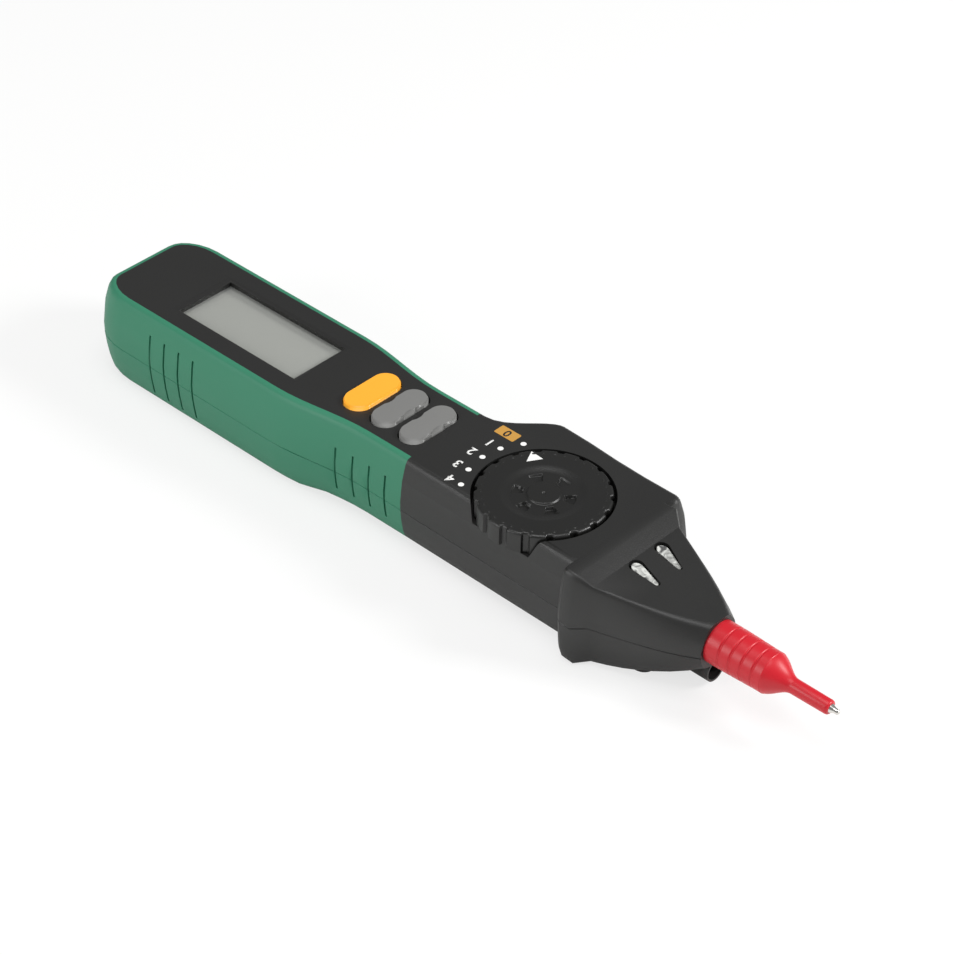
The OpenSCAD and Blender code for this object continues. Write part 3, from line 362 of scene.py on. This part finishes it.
def print_film(name, body, shape, material):
    """A print of thin ink: a flat shape in millimetres that gets its thickness and its finish."""
    for face in shape.faces:
        if face.normal.z < 0:
            face.normal_flip()
    rise = bmesh.ops.extrude_face_region(shape, geom=shape.faces[:], use_keep_orig=True)["geom"]
    bmesh.ops.translate(shape, verts=[v for v in rise if isinstance(v, bmesh.types.BMVert)],
                        vec=(0, 0, print_t))
    bmesh.ops.recalc_face_normals(shape, faces=shape.faces)
    bmesh.ops.transform(shape, verts=shape.verts, matrix=Matrix.Scale(MM, 4))
    return piece(name, body, shape, material)


shape = bmesh.new()
for x, y in dots:
    bmesh.ops.create_circle(shape, cap_ends=True, segments=32, radius=dot_r,
                            matrix=Matrix.Translation((x, y, face_z)))
print_film("range_dots", "case", shape, white_ink)

shape = bmesh.new()
bmesh.ops.create_grid(shape, x_segments=1, y_segments=1, size=0.5, matrix=Matrix.Translation(
    (*patch, face_z)) @ Matrix.Diagonal((*patch_size, 1, 1)))
bmesh.ops.bevel(shape, geom=shape.verts[:], offset=patch_corner, affect="VERTICES", segments=4, profile=0.5,
                material=-1)
print_film("first_place_patch", "case", shape, amber_ink)


def number(shape, text, place, height):
    """Add a number's flat outline in millimetres, turned to be read from the far side."""
    curve = bpy.data.curves.new("number", "FONT")
    curve.body, curve.size, curve.align_x, curve.align_y = text, height / digit_share, "CENTER", "CENTER"
    curve.offset = stroke_extra
    holder = bpy.data.objects.new("number", curve)
    bpy.context.scene.collection.objects.link(holder)
    flat = bpy.data.meshes.new_from_object(holder.evaluated_get(bpy.context.evaluated_depsgraph_get()))
    bpy.data.objects.remove(holder)
    flat.transform(Matrix.Translation(place) @ Matrix.Rotation(math.pi, 4, "Z"))
    shape.from_mesh(flat)
    bpy.data.meshes.remove(flat)


shape = bmesh.new()
for digit, (x, y) in enumerate(dots[1:], 1):
    number(shape, str(digit), (x - number_gap, y, face_z), number_h)
print_film("range_numbers", "case", shape, white_ink)
shape = bmesh.new()
number(shape, "0", (*patch, face_z + print_t), first_number_h)
print_film("first_place_number", "case", shape, dial_plastic)

shape = bmesh.new()
shape.faces.new([shape.verts.new((dial_x + x, y, dial_top)) for x, y in pointer])
print_film("dial_pointer", "dial", shape, white_ink)

# The red sleeve is glossier plastic, moulded over the needle, with four fine rings for the
# fingertip, a shoulder and a long thin neck that leaves only the needle's point bare.
sleeve_low, sleeve_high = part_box("probe_sleeve")
sleeve_inner, tail_r, tail_share = 7, 4.2, 1 / 3
sleeve_base, sleeve_end = sleeve_low[0] / MM + sleeve_inner, sleeve_high[0] / MM
axis_z = (sleeve_low[2] + sleeve_high[2]) / 2 / MM
sleeve_r, neck_r, needle_r, body_taper = 4.9, 1.7, 1.02, 0.05
rings, ring_from, ring_pitch, ring_half, ring_floor, ring_depth = 4, 3.5, 2.8, 0.34, 0.04, 0.2
body_end, shoulder_end, shoulder_ease = 14.2, 20.0, (-0.12, 0.96)
run_step, runs_past, sleeve_steps = 0.1, 4, 96
tip_rounds, tip_lip = ((0.7, 0.97), (0.3, 0.92), (0.08, 0.8)), 0.12


def sleeve_radius(run):
    """Radius of the sleeve at a distance from the nose, with its rings cut in."""
    if run > body_end:
        share = min(1, (run - body_end) / (shoulder_end - body_end))
        shoulder_r = sleeve_r * (1 - body_taper)
        return max(neck_r, shoulder_r - (shoulder_r - neck_r) * soft(share, *shoulder_ease))
    radius = sleeve_r * (1 - body_taper * soft(run, ring_from, body_end))
    for i in range(rings):
        radius -= ring_depth * (1 - soft(abs(run - ring_from - i * ring_pitch), ring_floor, ring_half))
    return radius


length = sleeve_end - sleeve_base
runs = [run_step * i for i in range(int(shoulder_end / run_step) + runs_past)]
outline = [(-sleeve_inner, needle_r), (-sleeve_inner, tail_r), (-sleeve_inner * tail_share, sleeve_r)]
outline += [(run, sleeve_radius(run)) for run in runs]
outline += [(length - back_off, neck_r * share) for back_off, share in tip_rounds]
outline += [(length, needle_r + tip_lip), (length, needle_r)]
shape = turned([(x, 0, r) for x, r in outline], (1, 0, 0), sleeve_steps, closed=True)
bmesh.ops.translate(shape, verts=shape.verts, vec=(sleeve_base, 0, axis_z))
bmesh.ops.transform(shape, verts=shape.verts, matrix=Matrix.Scale(MM, 4))
red_plastic = plastic("red_plastic", (0.52, 0.01, 0.02), 0.36, grain=0.05, tone=0.04)
sleeve = piece("probe_sleeve_finish", "case", shape, red_plastic)
smooth(sleeve, 45)
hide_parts("probe_sleeve")


# The needle is a nickel-plated steel pin with a ground point. It runs through the sleeve to the
# contact on the board.
def metal(name, colour, rough):
    """Plated metal with faint wipe marks in its gloss."""
    made, wire, output = shader(name)
    place = wire.node("TexCoord", out=3)
    wipes = wire.node("TexNoise", sockets={"Vector": place, "Scale": 900.0, "Detail": 3.0})
    shade = wipes.tint(tuple(c * 0.9 for c in colour) + (1,), colour + (1,))
    surface = wire.node("BsdfPrincipled", sockets={
        "Base Color": shade, "Metallic": 1.0, "Roughness": wipes * 0.2 + (rough - 0.1)})
    made.node_tree.links.new(surface.socket, output.inputs["Surface"])
    return made


needle_steel = metal("needle_steel", (0.66, 0.65, 0.62), 0.22)
skin_of("probe_needle", "case", needle_steel)

# The display is a blank panel of grey-green glass that stands on the board in a frame. A clear
# moulded window over it is bonded into the face from inside.
clear, wire, output = shader("clear_window")
faint = wire.node("TexNoise", sockets={"Vector": wire.node("TexCoord", out=3), "Scale": 180.0})
surface = wire.node("BsdfPrincipled", sockets={
    "Base Color": (0.9, 0.92, 0.9, 1), "Roughness": faint * 0.06 + 0.05, "Alpha": 0.12,
    "Specular IOR Level": 0.5})
clear.node_tree.links.new(surface.socket, output.inputs["Surface"])
skin_of("display_window", "case", clear)
display_glass = plastic("display_glass", (0.17, 0.176, 0.15), 0.35, grain=0.01, tone=0.03)
skin_of("display_panel", "case", display_glass)


# Two frosted light windows in the nose, each a drop-shaped moulded lens that stands over lamps on
# the board. It tapers towards its top, so a dark gap shows round it in its opening.
lens_top_shares = (0.87, 0.72, 1)


def lens(node, material):
    """A light window whose upper half draws in from its opening."""
    shape = solid_of(node)
    low, high = (Vector(corner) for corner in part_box(node))
    middle = (low + high) / 2
    top = [corner for corner in shape.verts if corner.co.z > middle.z]
    bmesh.ops.scale(shape, verts=top, vec=lens_top_shares, space=Matrix.Translation(-middle))
    made = piece(node + "_finish", "case", shape, material)
    smooth(made, 30)
    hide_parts(node)


frosted, wire, output = shader("frosted_lens")
place = wire.node("TexCoord", out=3)
veins = wire.node("TexNoise", sockets={"Vector": place, "Scale": 520.0, "Detail": 5.0, "Distortion": 1.2})
depth = wire.node("ValToRGB", {"stops": ((0.36, 0.0), (0.62, 1.0))}, {0: veins})
surface = wire.node("BsdfPrincipled", sockets={
    "Base Color": depth.tint((0.08, 0.08, 0.08, 1), (0.6, 0.61, 0.58, 1)), "Roughness": veins * 0.2 + 0.2,
    "Specular IOR Level": 0.5})
frosted.node_tree.links.new(surface.socket, output.inputs["Surface"])
lens("logic_light_window", frosted)
lens("voltage_light_window", frosted)

# The torch lamp is a small lamp with a moulded lens. It lies in a tube under the nose and looks out
# of the tube's end.
skin_of("torch_lamp", "case", frosted)

# The return lead's socket is a turned and gilded brass tube. A black plastic sleeve holds it, sunk
# in the rear end of the case.
gold = metal("gold_contact", (0.85, 0.62, 0.26), 0.25)
black_parts = plastic("black_parts", (0.03, 0.03, 0.03), 0.5)
skin_of("com_socket", "case", gold)
skin_of("socket_insulator", "case", black_parts)

# Plated steel screws hold the meter together: one in the battery door, and four up through the
# lower half into posts in the upper one.
screw_steel = metal("screw_steel", (0.6, 0.6, 0.58), 0.3)
skin_of("battery_door_screw", "case", screw_steel)
skin_of("case_screws", "case", screw_steel)

# Everything else is inside and can't be seen when the meter is closed, so each piece keeps its
# solid and gets its finish: metal, rubber, board, ceramic or printed jacket.
ivory = plastic("ivory_plastic", (0.7, 0.68, 0.58), 0.45)
pink = plastic("contact_rubber", (0.75, 0.33, 0.38), 0.6)
dark_rubber = plastic("dark_rubber", (0.05, 0.05, 0.05), 0.7)
board = plastic("board_green", (0.02, 0.16, 0.06), 0.35)
ceramic = plastic("fuse_ceramic", (0.7, 0.7, 0.66), 0.3)
jacket = plastic("cell_jacket", (0.1, 0.12, 0.2), 0.35)
inside = {
    screw_steel: ["dial_screw", "detent_balls", "detent_springs", "battery_springs", "battery_end_plates"],
    gold: ["dial_wipers", "probe_contact", "sensing_plate"],
    ivory: ["display_frame", "dial_carrier"],
    pink: ["display_connector"],
    dark_rubber: ["keypad_sheet", "function_key_dome", "rear_rocker_domes", "front_rocker_domes"],
    board: ["circuit_board"],
    black_parts: ["measuring_chip", "buzzer"],
    ceramic: ["input_fuse"],
    frosted: ["indicator_lamps"],
    jacket: ["battery_cells"],
}
for material, nodes in inside.items():
    for node in nodes:
        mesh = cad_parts[node].data
        mesh.materials.clear()
        mesh.materials.append(material)
